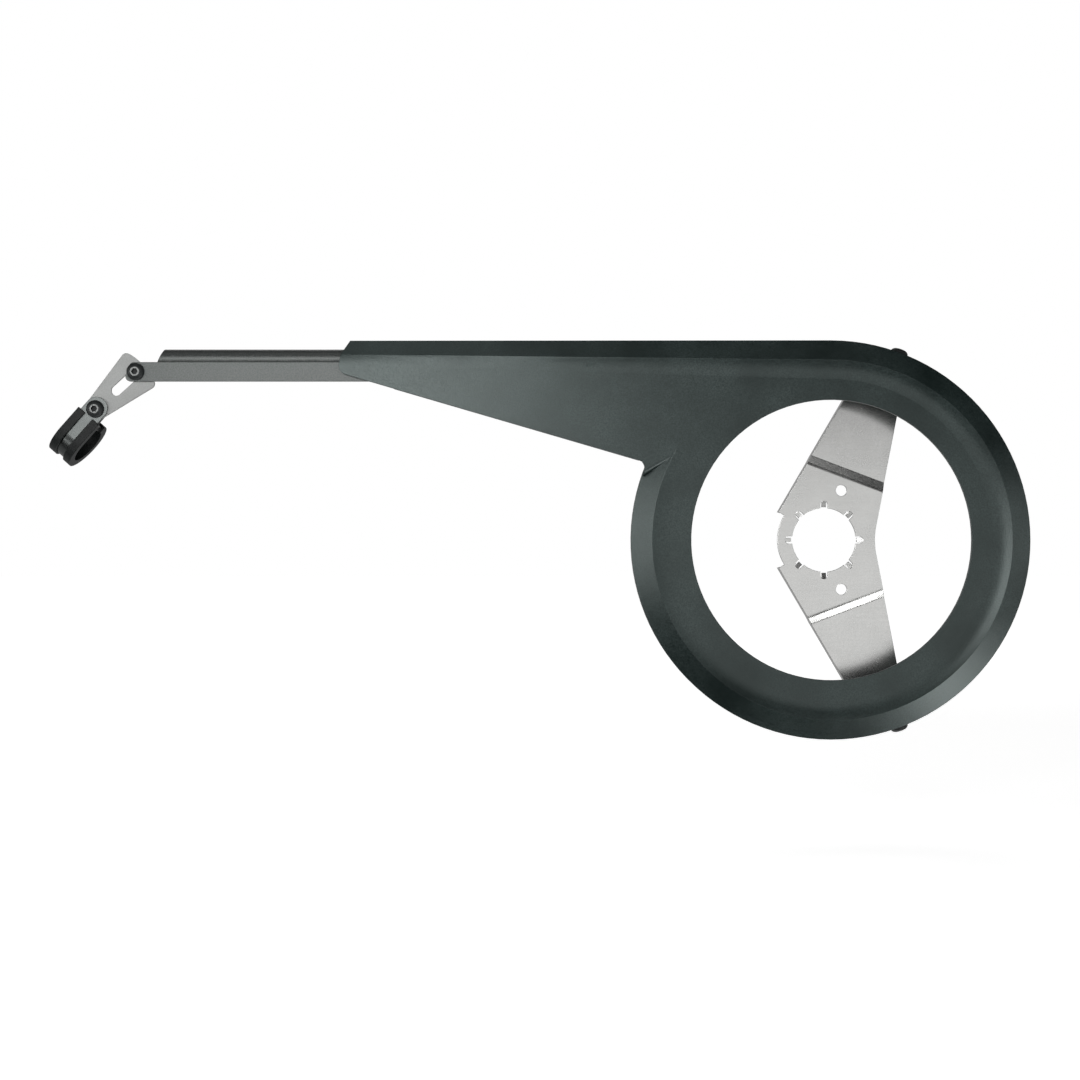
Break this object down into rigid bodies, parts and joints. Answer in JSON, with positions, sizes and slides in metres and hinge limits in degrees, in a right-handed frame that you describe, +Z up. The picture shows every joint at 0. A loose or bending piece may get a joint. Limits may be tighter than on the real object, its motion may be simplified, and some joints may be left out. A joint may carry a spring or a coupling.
{
  "type": "bicycle chain guard",
  "caption": "Chain guard with a dished ring and rear arm, a folded bottom bracket plate, and a sliding extension with a slotted link and a lined stay clamp.",
  "frame": {"origin": "on the bottom bracket axis, on the mounting plate's rear face, which seats on the bottom bracket shell", "axes": "+X to the front of the bicycle, +Y from the guard towards the bicycle, along the bottom bracket axis, +Z up"},
  "size_m": [0.529, 0.0353, 0.214],
  "materials": {
    "guard_plastic": "satin",
    "zinc_steel": "satin",
    "link_steel": "satin",
    "grey_metal": "satin",
    "black_steel": "satin",
    "nut_steel": "satin",
    "band_steel": "satin",
    "rubber": "matte"
  },
  "bodies": {
    "guard": {"guard_shell": "guard_plastic", "bottom_bracket_plate": "zinc_steel", "rim_screws": "black_steel", "rim_nuts": "nut_steel", "slide_screws": "black_steel", "slide_washers": "nut_steel"},
    "extension": {"extension_arm": "grey_metal"},
    "link_pivot": {"link_bolt": "black_steel", "link_washer": "nut_steel", "link_nut": "nut_steel"},
    "link": {"stay_link": "link_steel"},
    "clamp": {"clamp_band": "band_steel", "clamp_rubber": "rubber", "clamp_bolt": "black_steel", "clamp_nut": "nut_steel"}
  },
  "joints": [
    {"name": "extension_slide", "type": "slide", "parent": "guard", "child": "extension", "axis": [-1, 0, 0], "range_m": [-0.012, 0.012]},
    {"name": "link_turn", "type": "hinge", "parent": "extension", "child": "link_pivot", "pos_m": [-0.3724, -0.0203, 0.09015], "axis": [0, -1, 0], "range_deg": [-35, 20]},
    {"name": "link_slide", "type": "slide", "parent": "link_pivot", "child": "link", "axis": [0.7396, 0, 0.673], "range_m": [-0.0007, 0.005]},
    {"name": "clamp_turn", "type": "hinge", "parent": "link", "child": "clamp", "pos_m": [-0.39429, -0.0203, 0.07023], "axis": [0, -1, 0], "range_deg": [-45, 45]}
  ]
}
